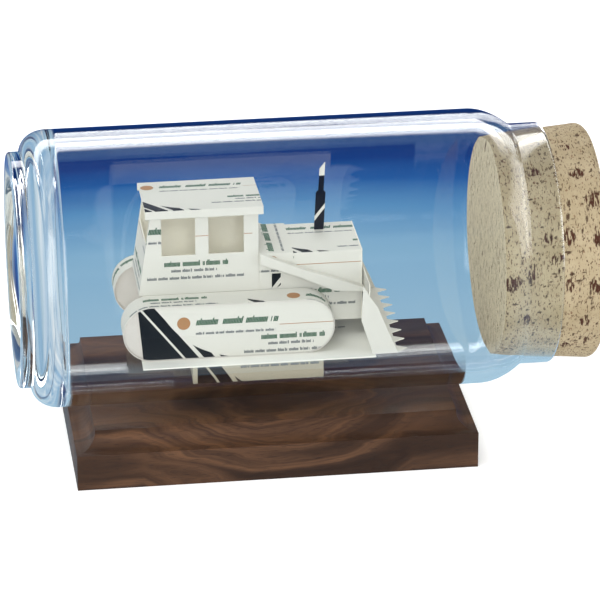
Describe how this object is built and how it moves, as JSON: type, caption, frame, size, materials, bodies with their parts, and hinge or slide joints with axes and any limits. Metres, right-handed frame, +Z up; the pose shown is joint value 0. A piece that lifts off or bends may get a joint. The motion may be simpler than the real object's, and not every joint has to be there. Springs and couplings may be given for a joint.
{
  "type": "paper tracked loader in a corked glass jar",
  "caption": "Model of a tracked loader folded from business cards, inside a wide-mouthed clear glass jar lying on a moulded walnut base and closed by a tapered cork.",
  "frame": {"origin": "centre of the walnut base's flat underside", "axes": "+X along the jar towards the cork, +Y towards the far side of the paper loader, +Z up"},
  "size_m": [0.2394, 0.1142, 0.1341],
  "materials": {
    "walnut": "satin",
    "glass": "gloss",
    "cork": "matte",
    "printed_card": "matte",
    "plain_card": "matte",
    "black_card": "satin"
  },
  "bodies": {
    "base": {"walnut_base": "walnut"},
    "jar": {"glass_jar": "glass", "floor_plate": "printed_card", "pedestal_front": "printed_card", "pedestal_back": "printed_card", "pedestal_left_end": "printed_card", "pedestal_right_end": "printed_card", "near_track_band": "printed_card", "near_track_face_card": "printed_card", "far_track_band": "printed_card", "far_track_face_card": "printed_card", "cab_near_wall": "printed_card", "cab_far_wall": "printed_card", "cab_rear_wall": "printed_card", "cab_front_wall": "printed_card", "cab_roof": "printed_card", "engine_hood": "printed_card", "radiator_panel": "printed_card", "cowl_strip": "printed_card", "near_lift_arm": "printed_card", "far_lift_arm": "printed_card", "bucket_back": "printed_card", "bucket_near_side": "printed_card", "bucket_far_side": "printed_card", "bucket_toothed_edge": "printed_card", "near_track_outer_plate": "plain_card", "far_track_outer_plate": "plain_card", "near_track_inner_plate": "plain_card", "far_track_inner_plate": "plain_card", "chassis_deck": "plain_card", "chassis_near_side": "plain_card", "chassis_far_side": "plain_card", "chassis_rear_end": "plain_card", "chassis_front_end": "plain_card", "exhaust_stack": "black_card"},
    "cork": {"cork_stopper": "cork"}
  },
  "joints": [
    {"name": "jar_lift", "type": "slide", "parent": "base", "child": "jar", "axis": [0, 0, 1], "range_m": [0, 0.14]},
    {"name": "cork_pull", "type": "slide", "parent": "jar", "child": "cork", "axis": [1, 0, 0], "range_m": [0, 0.11]}
  ]
}
